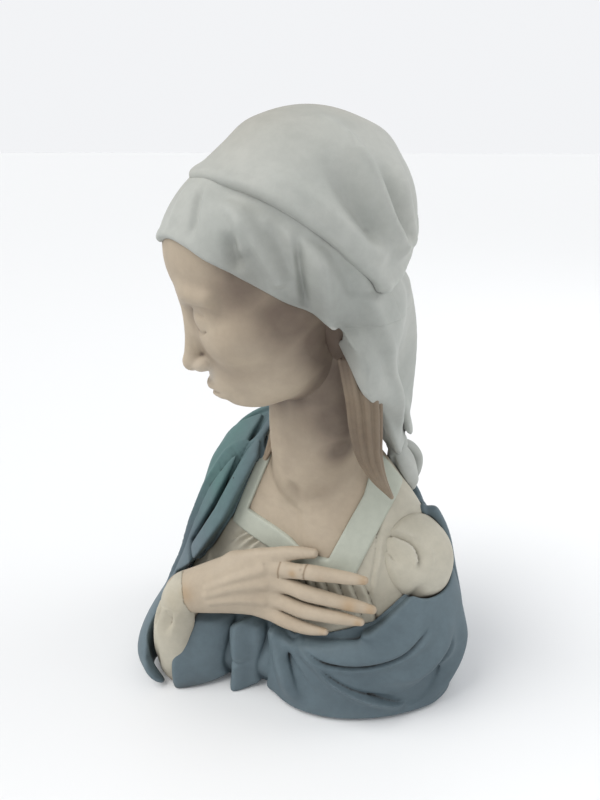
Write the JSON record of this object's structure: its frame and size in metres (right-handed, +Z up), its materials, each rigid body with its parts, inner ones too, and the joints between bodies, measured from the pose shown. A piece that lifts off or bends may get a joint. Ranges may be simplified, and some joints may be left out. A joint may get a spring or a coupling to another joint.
{
  "type": "madonna bust statue",
  "caption": "Veiled woman's bust in painted biscuit porcelain, head bowed and turned over the right shoulder, one hand raised across the chest, flat closed base.",
  "frame": {"origin": "on the table, on the flat base, under the middle of the body", "axes": "+Z up, -Y the way the chest faces, +X towards the figure's left shoulder"},
  "size_m": [0.2035, 0.1368, 0.3236],
  "materials": {
    "skin": "matte painted biscuit",
    "hair": "matte painted biscuit",
    "veil_white": "matte painted biscuit",
    "neckline_white": "matte painted biscuit",
    "dress_cream": "matte painted biscuit",
    "mantle_blue": "matte painted biscuit",
    "biscuit": "unpainted biscuit"
  },
  "bodies": {
    "root": {"head": "skin", "neck_and_chest": "skin", "palm_right": "skin", "thumb": "skin", "index_finger_base": "skin", "index_finger_tip": "skin", "middle_finger": "skin", "ring_finger": "skin", "little_finger": "skin", "hair_lock_left": "hair", "hair_lock_right": "hair", "veil_brim": "veil_white", "veil_crown": "veil_white", "veil_fall": "veil_white", "veil_gather": "veil_white", "veil_tail": "veil_white", "veil_loop": "veil_white", "bodice": "dress_cream", "neckline_band": "neckline_white", "puff_sleeve_left": "dress_cream", "forearm_sleeve_right": "dress_cream", "cuff_right": "dress_cream", "mantle_back": "mantle_blue", "mantle_border": "mantle_blue", "mantle_right_panel": "mantle_blue", "mantle_front_swag": "mantle_blue", "base_plate": "biscuit"}
  },
  "joints": []
}
